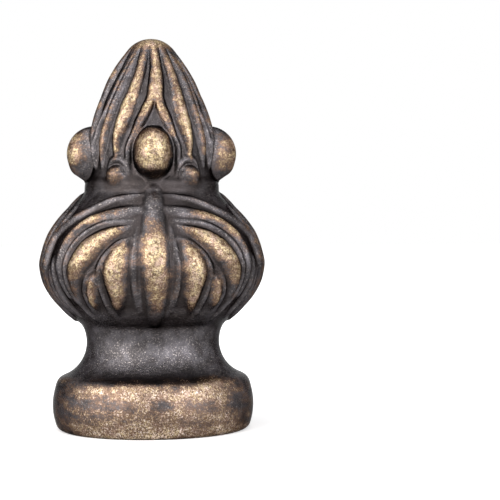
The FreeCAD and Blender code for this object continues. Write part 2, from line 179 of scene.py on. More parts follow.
# %% [markdown]
# ## A fine net over the outline
#
# The carving could be sculpted by hand, or laid on as separate pieces. A cast
# ornament is one skin, so it is made as a net of small faces round the
# outline, and each point is then pushed in or out along the surface. Rows are
# close together where there is carving and far apart on the plain foot.

# %% Net of points
COLUMNS = 360
ROW_STEPS = [  # up to this height, distance between rows
    (5.0, 0.22),
    (8.6, 0.3),
    (20.3, 0.137),
    (21.0, 0.2),
    (33.0, 0.132),
]
POLE_GAP = 0.03  # the last row stops this far before the tip
SLOPE_SMOOTHING = 30  # steps of the outline over which its slope is averaged


def row_places():
    """Distances along the outline at which a row of the net lies."""
    places = [0.0]
    while places[-1] < outline_length[-1]:
        here = np.interp(places[-1], outline_length, outline_height)
        step = next(step for top, step in ROW_STEPS if here <= top)
        places.append(places[-1] + step)
    places = np.array(places[:-1])
    return places * (outline_length[-1] / (places[-1] + POLE_GAP))


rows = row_places()
row_radius = np.interp(rows, outline_length, outline_radius)
row_height = np.interp(rows, outline_length, outline_height)
slope_r = smooth_run(np.gradient(outline_radius, outline_length), SLOPE_SMOOTHING)
slope_z = smooth_run(np.gradient(outline_height, outline_length), SLOPE_SMOOTHING)
normal_r = np.interp(rows, outline_length, slope_z)
normal_z = np.interp(rows, outline_length, -slope_r)
normal_size = np.hypot(normal_r, normal_z)
normal_r, normal_z = normal_r / normal_size, normal_z / normal_size
angles = np.arange(COLUMNS) * 360 / COLUMNS - 180
ANGLE, ROW = np.meshgrid(angles, np.arange(len(rows)))
HEIGHT = row_height[ROW]
print("net:", len(rows), "rows of", COLUMNS, "points")

# %% [markdown]
# ## Uneven like a casting
#
# No two leaves of a hand-finished casting are quite alike. Slow waves of a few
# sines with fixed phases shift the carving by a fraction of a millimetre, and
# they give the same result on every run. The ribs near the tip also lean a few
# degrees to one side, as on the real pattern.

# %% Slow unevenness
WAVES = 7
MOST_TURNS = 6  # times that the quickest wave swings on its way round
LAST_PHASE = 6.28  # radians, just under a full turn
SWAY = 0.7  # degrees by which the carving strays sideways
DRIFT = 0.06  # millimetres by which it strays up and down
TWIST = ([24.5, 27.0, 28.5, 30.0], [0.0, 1.5, 4.0, 6.0])  # heights, degrees


def slow_waves(seed, longest):
    """A smooth uneven field between about -1 and 1 that closes round the axis."""
    chance = np.random.default_rng(seed)
    total = np.zeros(ANGLE.shape)
    for _ in range(WAVES):
        turns = chance.integers(1, MOST_TURNS + 1)
        rise = chance.uniform(-1, 1) * 2 * math.pi / longest
        phase = chance.uniform(0, LAST_PHASE)
        total += np.sin(np.radians(ANGLE) * turns + HEIGHT * rise + phase)
    return total / (WAVES / 2)


twist = np.interp(HEIGHT, *TWIST)
swayed_angle = ANGLE - twist + SWAY * slow_waves(seed=11, longest=9.0)
swayed_height = HEIGHT + DRIFT * slow_waves(seed=12, longest=7.0)
print("ribs lean up to", twist.max(), "degrees")

# %% [markdown]
# ## How a carved form is described
#
# Each leaf, rib or ridge follows a spine on the surface, given as a few points of (angle,
# share of the height). Its half width, its height and its rubbed brightness are given at a
# few places along the spine. Every point of the net takes the nearest place on the spine,
# and how far across the form it lies decides how much it rises. A bead is an oval ball
# instead, and each point goes out along the surface's normal until it meets the ball. A
# bead is smooth, so it is also marked as clean: grime finds no hold on it, and it is kept
# free of the painted shade that darkens the hollows.

# %% Spines
SPINE_POINTS = 48
FAR = 1e9


def fold(angle, every):
    """Angle from the nearest repeat of a form, without its sign."""
    return np.abs((angle + every / 2) % every - every / 2)


def on_outline(angle, height):
    """Points of the plain outline at an angle and a height."""
    order = np.searchsorted(outline_height, height)
    radius = outline_radius[order.clip(1, len(outline_height) - 1)]
    turn = np.radians(angle)
    return np.stack([radius * np.sin(turn), -radius * np.cos(turn), height], axis=-1)


def smooth_spine(points, levels):
    """A curve through the spine's points, as points on the outline."""
    points = np.array(points, dtype=float)
    place = np.linspace(0, len(points) - 1, SPINE_POINTS)
    ends = np.vstack([2 * points[0] - points[1], points, 2 * points[-1] - points[-2]])
    index = np.minimum(place.astype(int), len(points) - 2)
    f = (place - index)[:, None]
    a, b, c, d = (ends[index + k] for k in range(4))
    run = 0.5 * (2 * b + (c - a) * f + (2 * a - 5 * b + 4 * c - d) * f**2
                 + (3 * b - a - 3 * c + d) * f**3)
    return on_outline(run[:, 0], levels[0] + run[:, 1] * (levels[1] - levels[0]))


def nearest_on_spine(points, spine):
    """Share of the spine nearest to each point, and the distance to it."""
    lengths = np.linalg.norm(np.diff(spine, axis=0), axis=1)
    before = np.concatenate([[0], np.cumsum(lengths)])
    best = np.full(len(points), FAR)
    share = np.zeros(len(points))
    for number, (start, end) in enumerate(zip(spine, spine[1:])):
        run = end - start
        at = ((points - start) @ run / (run @ run)).clip(0, 1)
        gap = ((points - start - at[:, None] * run) ** 2).sum(axis=1)
        closer = gap < best
        best[closer] = gap[closer]
        share[closer] = (before[number] + at[closer] * lengths[number]) / before[-1]
    return share, np.sqrt(best)


def along(share, values):
    """A list of values spread evenly over a spine, read at shares of it."""
    return np.interp(share, np.linspace(0, 1, len(values)), values)


# %% Relief
FORM_MARGIN = 0.6  # a form may reach this far past its levels
BEAD_MARGIN = 1.2
FORM_POWER = 0.6  # how blunt the section of a form is
RUB_POWER = 1.9  # how fast its brightness fades towards its edges
GROOVE_POWER = 1.5
MISSED = -9  # rise of a point whose normal misses a bead

# how brightly a bead is rubbed from its foot to its top, and outwards
BEAD_UP = ([-0.95, -0.5, 0.6, 1.0], [0.25, 1.0, 1.0, 0.7])
BEAD_OUT = ([0.25, 0.65, 0.95], [0.1, 0.6, 1.0])


class Relief:
    """Height of the carving, how brightly it shows brass, and where it is kept free of
    grime and painted shade.
    """

    def __init__(self):
        self.height = np.zeros(ANGLE.shape)
        self.rub_and_shade = np.zeros(ANGLE.shape)
        self.clean = np.zeros(ANGLE.shape)

    def near(self, levels, every, spine, width):
        """Points near a spine: which, where along it, and how far across it."""
        inside = HEIGHT > levels[0] - FORM_MARGIN
        inside &= HEIGHT < levels[1] + FORM_MARGIN
        points = on_outline(fold(swayed_angle[inside], every), swayed_height[inside])
        share, gap = nearest_on_spine(points, smooth_spine(spine, levels))
        return inside, share, (gap / along(share, width)).clip(0, 1)

    def form(self, levels, every, spine, width, rise, rub_and_shade):
        """Raise one form. width, rise and rub are lists over the spine's length."""
        inside, share, across = self.near(levels, every, spine, width)
        full = (1 - across**2) ** FORM_POWER
        tall = full * along(share, rise)
        glow = full**RUB_POWER * along(share, rub_and_shade)
        self.height[inside] = np.maximum(self.height[inside], tall)
        self.rub_and_shade[inside] = np.maximum(self.rub_and_shade[inside], glow)

    def forms(self, levels, every, table):
        """Raise every form of a table that gives each one under its name."""
        for spine, width, rise, rub_and_shade in table.values():
            self.form(levels, every, spine, width, rise, rub_and_shade)
        print("raised:", ", ".join(table))

    def groove(self, levels, every, spine, width, depth):
        """Sink one groove, below whatever is there."""
        inside, _, across = self.near(levels, every, spine, width)
        full = (1 - across**2) ** GROOVE_POWER
        self.height[inside] -= full * depth
        self.rub_and_shade[inside] *= 1 - full

    def bead(self, levels, every, turn, height, sink, half_sizes, rub_and_shade):
        """Raise an oval bead at an angle and a height, sunk into the outline."""
        inside = (HEIGHT > levels[0] - BEAD_MARGIN) & (HEIGHT < levels[1])
        local = np.radians(fold(ANGLE[inside], every) - turn)
        row = ROW[inside]
        sine, cosine = np.sin(local), np.cos(local)
        reach = row_radius[row]
        start = np.stack([reach * sine, reach * cosine, HEIGHT[inside]], 1)
        normal = np.stack([normal_r[row] * sine, normal_r[row] * cosine,
                           normal_z[row]], 1)
        centre = np.interp(height, outline_height, outline_radius) - sink
        start = (start - [0, centre, height]) / half_sizes
        normal = normal / half_sizes
        a = (normal**2).sum(1)
        b = (start * normal).sum(1)
        c = (start**2).sum(1) - 1
        hit = b**2 - a * c
        rise = np.where(hit > 0, (np.sqrt(np.abs(hit)) - b) / a, MISSED)
        over = rise > self.height[inside]
        out, up = (start[:, k] + normal[:, k] * rise for k in (1, 2))
        glow = rub_and_shade * np.interp(up, *BEAD_UP) * np.interp(out, *BEAD_OUT)
        self.height[inside] = np.where(over, rise, self.height[inside])
        self.rub_and_shade[inside] = np.where(over, glow, self.rub_and_shade[inside])
        self.clean[inside] = np.where(over, 1.0, self.clean[inside])


relief = Relief()
print("relief laid over", relief.height.size, "points")

# %% [markdown]
# ## The bulb's palmettes
#
# A palmette is a fan of lobes: an upright lobe in the middle, a tear and a
# small drop beside it, and two fronds that arch over them. Thin raised rims
# run between them. One palmette faces the front and one the back, and the
# two sides carry an upright spray where their fronds meet. Only one half of a
# palmette is described, because the angle is folded about its middle.

# %% Palmettes
PALMETTES = 180  # degrees from one palmette to the next
LOBES = {  # spine, half widths, heights and brightness of each
    "middle lobe": (
        [(0, 0.03), (0, 0.2), (0.5, 0.4), (0.5, 0.6), (0, 0.8), (0, 0.98)],
        [0.45, 0.92, 1.12, 1.08, 0.9, 0.74],
        [0.2, 0.46, 0.56, 0.54, 0.42, 0.26],
        [0.0, 0.45, 0.95, 0.94, 0.14, 0.08],
    ),
    "tear": (
        [(23, 0.09), (22, 0.15), (21.2, 0.21), (20.8, 0.29),
         (21, 0.385), (20.2, 0.47), (18, 0.555), (14.8, 0.635)],
        [0.12, 0.45, 0.72, 0.94, 1.1, 1.05, 0.74, 0.16],
        [0.1, 0.34, 0.48, 0.56, 0.62, 0.6, 0.5, 0.12],
        [0.1, 0.5, 0.8, 0.95, 1.0, 1.0, 0.9, 0.3],
    ),
    "drop": (
        [(37.8, 0.12), (36.8, 0.21), (35.5, 0.285), (33.5, 0.345), (30.5, 0.4)],
        [0.15, 0.5, 0.56, 0.48, 0.12],
        [0.12, 0.4, 0.44, 0.4, 0.1],
        [0.1, 0.8, 0.95, 0.7, 0.1],
    ),
    "inner frond": (
        [(49, 0.185), (48.3, 0.255), (46.7, 0.355), (43.2, 0.45),
         (37.5, 0.555), (29.5, 0.65), (22, 0.708), (13.5, 0.747)],
        [0.15, 0.5, 0.88, 1.06, 1.12, 0.86, 0.46, 0.14],
        [0.1, 0.34, 0.5, 0.6, 0.64, 0.54, 0.38, 0.14],
        [0.05, 0.4, 0.75, 1.0, 1.0, 1.0, 0.8, 0.35],
    ),
    "outer frond": (
        [(57, 0.22), (58, 0.4), (57.5, 0.53), (54.5, 0.64), (51, 0.705),
         (44.8, 0.765), (35.5, 0.815), (22, 0.85), (9, 0.865)],
        [0.3, 0.42, 0.45, 0.46, 0.46, 0.46, 0.52, 0.6, 0.5],
        [0.15, 0.3, 0.36, 0.4, 0.42, 0.42, 0.36, 0.3, 0.15],
        [0.0, 0.08, 0.14, 0.35, 0.75, 0.9, 0.55, 0.12, 0.08],
    ),
}
relief.forms(BULB, PALMETTES, LOBES)
print("palmette relief up to", round(relief.height.max(), 2), "mm")

# %% Rims between the lobes
RIM_RISE = [0.1, 0.28, 0.31, 0.28, 0.12]
RIM_RUB = [0.05, 0.16, 0.22, 0.16, 0.05]
RIMS = {  # spine and half widths of each
    "rim beside the middle lobe": (
        [(9.8, 0.1), (11.6, 0.3), (11.6, 0.45), (10.4, 0.6), (9.4, 0.74)],
        [0.12, 0.28, 0.3, 0.26, 0.1],
    ),
    "fine line next to it": (
        [(7.6, 0.06), (8.7, 0.25), (8.8, 0.4), (8.4, 0.55), (7.6, 0.7)],
        [0.06, 0.1, 0.1, 0.1, 0.06],
    ),
    "rim round the tear": (
        [(29, 0.08), (29.6, 0.22), (29.8, 0.35), (29, 0.45),
         (26, 0.54), (19.5, 0.625), (12, 0.66)],
        [0.12, 0.18, 0.22, 0.24, 0.24, 0.22, 0.12],
    ),
    "rim round the drop": (
        [(42.5, 0.1), (42, 0.21), (40, 0.31), (36, 0.395), (31, 0.43)],
        [0.1, 0.16, 0.2, 0.2, 0.14],
    ),
    "rim between the fronds": (
        [(46, 0.04), (49, 0.12), (52, 0.22), (53.2, 0.33), (52.6, 0.45),
         (50.5, 0.56), (46, 0.65), (39, 0.72), (28, 0.775), (12, 0.79)],
        [0.12, 0.2, 0.24, 0.25, 0.25, 0.25, 0.25, 0.24, 0.22, 0.12],
    ),
    "rim outside the fronds": (
        [(68, 0.3), (74, 0.42), (74.5, 0.55), (72, 0.68), (63, 0.785),
         (48, 0.87), (32.5, 0.935), (18, 0.96), (5, 0.97)],
        [0.2, 0.36, 0.42, 0.42, 0.4, 0.32, 0.24, 0.2, 0.12],
    ),
    "first side ridge": (
        [(61, 0.06), (64.5, 0.2), (65.5, 0.36), (66, 0.52)],
        [0.2, 0.4, 0.4, 0.2],
    ),
    "second side ridge": (
        [(66, 0.08), (70, 0.2), (71, 0.34), (71, 0.46)],
        [0.2, 0.36, 0.36, 0.2],
    ),
}
relief.forms(BULB, PALMETTES, {
    name: (*spine_and_width, RIM_RISE, RIM_RUB)
    for name, spine_and_width in RIMS.items()})
relief.groove(
    BULB, PALMETTES,
    [(63.5, 0.6), (62, 0.68), (57, 0.765), (45, 0.83), (31, 0.89), (11, 0.91)],
    [0.12, 0.32, 0.36, 0.34, 0.3, 0.15],
    depth=0.06,
)

# %% Side sprays
SPRAYS = {
    "upright spray": (
        [(90, 0.04), (90, 0.3), (90, 0.6), (90, 0.97)],
        [0.3, 1.0, 0.95, 0.3],
        [0.2, 0.55, 0.56, 0.22],
        [0.05, 0.5, 0.5, 0.25],
    ),
    "leaf beside it": (
        [(76, 0.06), (77, 0.3), (75, 0.6), (70, 0.9)],
        [0.25, 0.75, 0.7, 0.2],
        [0.2, 0.46, 0.46, 0.18],
        [0.05, 0.42, 0.42, 0.2],
    ),
}
relief.forms(BULB, PALMETTES, SPRAYS)

# %% [markdown]
# ## The bud's ribs, hoods and beads
#
# Every quarter turn a crest rib comes down from the tip and splits into two
# arms that hood a large oval bead. Between the hoods run broad ribs and slim
# ribs with hollow flutes between them, and small round beads sit at the root,
# each under a little hood of its own. The large beads at the sides are a little
# taller than those in front and behind.

# %% Crests and hoods
QUARTERS = 90  # degrees from one crest to the next
CRESTS = {
    "crest rib": (
        [(0, 0.46), (0, 0.5), (0, 0.62), (0, 0.74), (0, 0.86), (0, 0.99)],
        [0.3, 0.72, 0.62, 0.48, 0.42, 0.36],
        [0.05, 0.4, 0.48, 0.46, 0.36, 0.1],
        [0.3, 0.7, 0.8, 0.66, 0.6, 0.8],
    ),
    "hood arm": (
        [(3.4, 0.57), (6.2, 0.5), (9.6, 0.44), (13.2, 0.385),
         (18, 0.28), (22.5, 0.2), (23.5, 0.08)],
        [0.42, 0.46, 0.46, 0.42, 0.36, 0.34, 0.24],
        [0.4, 0.44, 0.52, 0.6, 0.62, 0.55, 0.25],
        [0.7, 0.7, 0.55, 0.38, 0.12, 0.1, 0.05],
    ),
}
relief.forms(BUD, QUARTERS, CRESTS)
relief.groove(BUD, QUARTERS, [(0, 0.51), (0, 0.44), (0, 0.34)], [0.12, 0.34, 0.62],
              depth=0.2)

# %% Ribs
RIBS = {
    "broad rib": (
        [(36, 0.12), (36.3, 0.2), (34.5, 0.31), (31, 0.41),
         (28.6, 0.51), (26.4, 0.61), (24.7, 0.75), (24.5, 0.96)],
        [0.12, 0.48, 0.7, 0.7, 0.56, 0.46, 0.4, 0.3],
        [0.12, 0.44, 0.54, 0.54, 0.48, 0.42, 0.34, 0.1],
        [0.5, 0.95, 1.0, 0.95, 0.8, 0.62, 0.5, 0.55],
    ),
    "slim rib": (
        [(55.5, 0.08), (54.8, 0.2), (53.2, 0.31), (51, 0.4),
         (49, 0.52), (47.5, 0.68), (46, 0.93)],
        [0.2, 0.52, 0.5, 0.44, 0.4, 0.34, 0.25],
        [0.12, 0.42, 0.46, 0.42, 0.34, 0.28, 0.1],
        [0.3, 0.7, 0.5, 0.25, 0.18, 0.25, 0.5],
    ),
    "side rib": (
        [(67, 0.12), (67.5, 0.25), (65.5, 0.35), (60, 0.44),
         (56.5, 0.54), (55, 0.67), (53.5, 0.8), (52, 0.95)],
        [0.2, 0.3, 0.34, 0.34, 0.32, 0.3, 0.26, 0.2],
        [0.3, 0.45, 0.42, 0.38, 0.38, 0.36, 0.28, 0.1],
        [0.05, 0.08, 0.12, 0.22, 0.3, 0.32, 0.3, 0.5],
    ),
}
relief.forms(BUD, PALMETTES, RIBS)
print("bud relief up to", round(relief.height.max(), 2), "mm")

# %% Beads
relief.bead(BUD, PALMETTES, turn=0, height=23.1, sink=0.24,
            half_sizes=[1.7, 2.38, 2.22], rub_and_shade=0.93)
relief.bead(BUD, PALMETTES, turn=90, height=23.25, sink=0.24,
            half_sizes=[1.7, 2.38, 2.38], rub_and_shade=0.97)
relief.forms(BUD, PALMETTES, {
    "hood of a small bead": (
        [(21, 0.0), (24.5, 0.07), (31, 0.11), (40, 0.105), (46, 0.04)],
        [0.12, 0.3, 0.34, 0.3, 0.12],
        [0.1, 0.32, 0.36, 0.32, 0.1],
        [0.03, 0.08, 0.12, 0.08, 0.03],
    ),
})
relief.bead(BUD, PALMETTES, turn=34.5, height=21.3, sink=0.12,
            half_sizes=[0.98, 0.85, 0.84], rub_and_shade=0.5)
print("beads stand out up to", round(relief.height.max(), 2), "mm")

# %% [markdown]
# ## Ground and softening
#
# The ground between the forms is sunk a little, which makes them stand out,
# and the whole relief is softened by about a tenth of a millimetre, as a
# casting is. At the tip the relief dies out, because all ribs meet there.

# %% Ground and softening
GROUNDS = [  # depth, the heights it lies between, and how it fades at its ends
    (0.24, BULB[0] + 0.3, BULB[1] - 0.2, 1.2),
    (0.14, BUD[0] + 0.1, BUD[1] - 1.4, 1.0),
]
SKIN_WAVES = 0.02
SKIN_BAND = (0.5, 31.5, 1.0)
TIP_FADE = ([30.4, 32.2, 32.9], [1.0, 0.35, 0.0])
SOFTENING = 0.7  # columns and rows


def soften(field, width):
    """Blur a field over the net: across columns, closed round, and along rows."""
    margin = math.ceil(3 * width)
    reach = np.arange(-margin, margin + 1)
    weight = np.exp(-0.5 * (reach / width) ** 2)
    weight = weight / weight.sum()
    field = sum(w * np.roll(field, r, axis=1) for r, w in zip(reach, weight))
    padded = np.pad(field, ((margin, margin), (0, 0)), mode="edge")
    return sum(w * padded[margin + r:margin + r + len(field)]
               for r, w in zip(reach, weight))


def band(low, high, fade):
    """1 between two heights, fading to 0 outside them."""
    return (np.clip((HEIGHT - low) / fade, 0, 1)
            * np.clip((high - HEIGHT) / fade, 0, 1))


relief.height -= sum(depth * band(*where) for depth, *where in GROUNDS)
relief.height += SKIN_WAVES * slow_waves(seed=21, longest=5.0) * band(*SKIN_BAND)
relief.height *= np.interp(HEIGHT, *TIP_FADE)
relief.height = soften(relief.height, SOFTENING)
print("relief:", round(relief.height.min(), 2), "to",
      round(relief.height.max(), 2), "mm")

# %% [markdown]
# ## Hollows and wear
#
# The hollows are darkened, partly for grime, which stays where a cloth doesn't reach, and
# partly as painted shade where little light falls. A point lies in a hollow if the blurred
# relief round it is higher than the point itself, once for narrow grooves and once for
# wide ones. The opposite is wear: the crests of the forms, the edges of the foot and the
# tip are rubbed through to the brass. Less brass shows towards the sides than in front,
# which is painted shade for the light that falls from the front. Both fields are stored on
# the skin, and the material reads them.

# %% Hollows
NARROW, WIDE = 5.0, 16.0  # columns and rows over which the relief is blurred
NARROW_DEPTH, WIDE_DEPTH = 0.2, 0.8
WIDE_MOST = 0.8
UNSHADED_CLEAN_SHARE = 0.9  # how much less grime and painted shade the smooth beads get

BUD_SHARE = ([21.5, 23.0], [0.9, 0.6])  # there is less grime and painted shade on the bud

# more grime and painted shade on the foot's shoulder, under the bulb and round the waist
GRIME_AND_SHADE_BY_HEIGHT = (
    [4.4, 4.8, 5.6, 8.3, 9.0, 10.2, 18.6, 19.9, 21.1, 22.4],
    [0.0, 0.1, 0.0, 0.0, 0.3, 0.0, 0.0, 0.4, 0.6, 0.0],
)

# grime and painted shade: points lower than the blurred relief round them get a darker
# patina
narrow = (soften(relief.height, NARROW) - relief.height) / NARROW_DEPTH
wide = (soften(relief.height, WIDE) - relief.height) / WIDE_DEPTH
hollow_grime_and_shade = np.clip(narrow, 0, 1)
hollow_grime_and_shade += np.clip(wide, 0, WIDE_MOST)
hollow_grime_and_shade += np.interp(HEIGHT, *GRIME_AND_SHADE_BY_HEIGHT)
hollow_grime_and_shade = np.clip(hollow_grime_and_shade, 0, 1) * (1 - UNSHADED_CLEAN_SHARE * soften(relief.clean, 1.0))
hollow_grime_and_shade *= np.interp(HEIGHT, *BUD_SHARE)
print("hollow on average:", round(hollow_grime_and_shade.mean(), 2))

# %% Wear
FOOT_TOP = 6  # height between the foot and the neck
FOOT_RUB = (
    [0.0, 0.5, 1.0, 2.2, 3.2, 3.7, 4.15, 4.5, 5.0],
    [0.72, 0.95, 0.74, 0.42, 0.5, 0.72, 0.66, 0.3, 0.04],
)
FOOT_EVEN, FOOT_PATCHY = 0.85, 0.25
FOOT_SIDE_SHADE = ([0.7, 0.98], [1.0, 0.35])  # how far sideways, share of brass that is left: painted shade for light from the front
TIP_RUB = ([31.6, 32.2, 32.65], [0, 0.5, 1.0])
# less brass just under the bulb: partly less wear where a cloth reaches badly, and partly
# painted shade under the overhang
UNDER_BULB_RUB_AND_SHADE = ([8.9, 9.6, 10.6], [0.0, 0.25, 1.0])
BODY_SIDE_SHADE = 0.28  # painted shade: how much less brass shows at the sides of the bulb and the bud

above_foot = HEIGHT > FOOT_TOP
sideways = np.sin(np.radians(ANGLE))
foot_wear_and_shade = np.interp(HEIGHT, *FOOT_RUB)
foot_wear_and_shade *= FOOT_EVEN + FOOT_PATCHY * slow_waves(seed=31, longest=6.0)
# painted shade: the foot shows less brass towards its sides, away from the light in front
foot_wear_and_shade *= np.interp(np.abs(sideways), *FOOT_SIDE_SHADE)
tip_rub = np.interp(HEIGHT, *TIP_RUB)
relief.rub_and_shade = np.maximum(relief.rub_and_shade, np.where(above_foot, tip_rub, foot_wear_and_shade))
# less wear and painted shade: brass fades out under the bulb
under_bulb = np.interp(HEIGHT, *UNDER_BULB_RUB_AND_SHADE)
relief.rub_and_shade *= np.where(above_foot, under_bulb, 1)
# painted shade: the bulb and the bud show less brass towards their sides
relief.rub_and_shade *= 1 - BODY_SIDE_SHADE * sideways**2 * above_foot
relief.rub_and_shade = soften(relief.rub_and_shade, 1.0)
print("rubbed on average:", round(relief.rub_and_shade.mean(), 2))

# %% [markdown]
# ## One closed skin, with its hole
#
# The net becomes the outside of the casting. Its lowest row carries on over
# the foot's ring and up the stepped hole, so that the skin is closed and the
# bush finds its counterbore and its thread when the model is taken apart.

# %% Skin from rings
SEAT = [  # radius and height along the hole, from the axis at its top downwards
    (0.0, 13.05), (3.4, 11.45), (3.4, 7.05), (4.95, 7.05), (4.95, 1.0),
    (5.58, 1.0), (5.58, 0.12), (5.7, 0.0), (6.7, 0.0),
]


def ring(radius, height, count):
    """One plain ring of points about the axis."""
    turn = np.radians(np.arange(count) * 360 / count - 180)
    level = np.full(count, height)
    return np.stack([radius * np.sin(turn), -radius * np.cos(turn), level], -1)


def skin_from_rings(name, rings, fields=None, start_pole=None, end_pole=None):
    """A mesh over closed rings of points, with its fields as attributes."""
    count = rings.shape[1]
    points = rings.reshape(-1, 3) * MM
    index = np.arange(len(rings) * count).reshape(len(rings), count)
    after = np.roll(index, -1, axis=1)
    quads = np.stack([index[:-1], after[:-1], after[1:], index[1:]], -1)
    faces = quads.reshape(-1, 4).tolist()
    values = {key: field.reshape(-1) for key, field in (fields or {}).items()}
    for pole, row, order in ((start_pole, 0, 1), (end_pole, -1, -1)):
        if pole is not None:
            points = np.vstack([points, np.array(pole) * MM])
            for key, field in values.items():
                values[key] = np.append(field, field[index[row]].mean())
            tip = len(points) - 1
            faces += [[tip, b, a][::order] for a, b in zip(index[row], after[row])]
    mesh = bpy.data.meshes.new(name)
    mesh.from_pydata(points.tolist(), [], faces)
    for key, field in values.items():
        layer = mesh.attributes.new(key, "FLOAT", "POINT")
        layer.data.foreach_set("value", field.astype(np.float32))
    mesh.validate()
    return mesh


# %% Casting mesh
turn = np.radians(ANGLE)
out_r = row_radius[ROW] + relief.height * normal_r[ROW]
out_z = HEIGHT + relief.height * normal_z[ROW]
outside = np.stack([out_r * np.sin(turn), -out_r * np.cos(turn), out_z], -1)
seat = np.stack([ring(radius, height, COLUMNS) for radius, height in SEAT[1:]])
plain = np.zeros(seat.shape[:2])
casting_skin = skin_from_rings(
    "casting_skin",
    np.concatenate([seat, outside]),
    fields={"wear_and_shade": np.concatenate([plain, relief.rub_and_shade]),
            "hollow_grime_and_shade": np.concatenate([plain, hollow_grime_and_shade])},
    start_pole=(0, 0, SEAT[0][1]),
    end_pole=(0, 0, OUTLINE[-1][1]),
)
print("casting:", len(casting_skin.polygons), "faces")

# %% [markdown]
# ## Nodes in a few words
#
# Materials, the world and the threads are all trees of nodes. A few small
# helpers keep them short: they add a node with its inputs, join two numbers,
# start a material and turn a screen colour into a shader's. An input is either
# a plain value or the output of another node.

# %% Node helpers
def feed(tree, node, inputs):
    """Give a node its inputs: plain values, or outputs of other nodes."""
    for socket, value in inputs.items():
        if isinstance(value, bpy.types.NodeSocket):
            tree.links.new(value, node.inputs[socket])
        else:
            node.inputs[socket].default_value = value


def add(tree, kind, inputs=None, **settings):
    """A new node in a tree, with its settings and its inputs."""
    node = tree.nodes.new(kind)
    for key, value in settings.items():
        setattr(node, key, value)
    feed(tree, node, inputs or {})
    return node


def maths(tree, operation, a, b):
    """Two numbers or outputs joined by a Math node."""
    return add(tree, "ShaderNodeMath", {0: a, 1: b}, operation=operation).outputs[0]


def new_material(name):
    """A new material, its tree and its Principled shader."""
    material = bpy.data.materials.new(name)
    material.use_nodes = True
    tree = material.node_tree
    return material, tree, tree.nodes["Principled BSDF"]


def tone(red, green, blue):
    """A screen colour from 0 to 255, as the linear colour a shader takes."""
    linear = [((c / 255 + 0.055) / 1.055) ** 2.4 if c > 10 else c / 255 / 12.92
              for c in (red, green, blue)]
    return (*linear, 1.0)


# %% [markdown]
# ## The antique finish
#
# The brass was darkened all over and then rubbed back where it stands proud. In the
# material the wear stored on the skin decides where brass shows, and that stored field
# also carries painted shade: less brass towards the sides and under the bulb. Noise of
# several sizes and a few level streaks break its edge into specks and flecks. Noise also
# turns the brass from yellow to a coppery pink, because an old finish never wears off
# evenly. Between patina and brass lies a thin umber coat. The scale of a noise counts its
# waves in a metre, so that 12000 makes specks of about a twelfth of a millimetre.

# %% Antique finish
MIX_A, MIX_B, MIX_RESULT = 6, 7, 2  # the colour sockets of a Mix node
STREAK_SQUASH = (1.0, 1.0, 3.5)  # noise squashed in height makes level streaks
SCUFFS_END, SCUFFS_FULL = 4.6 * MM, 3.8 * MM  # heights on the foot


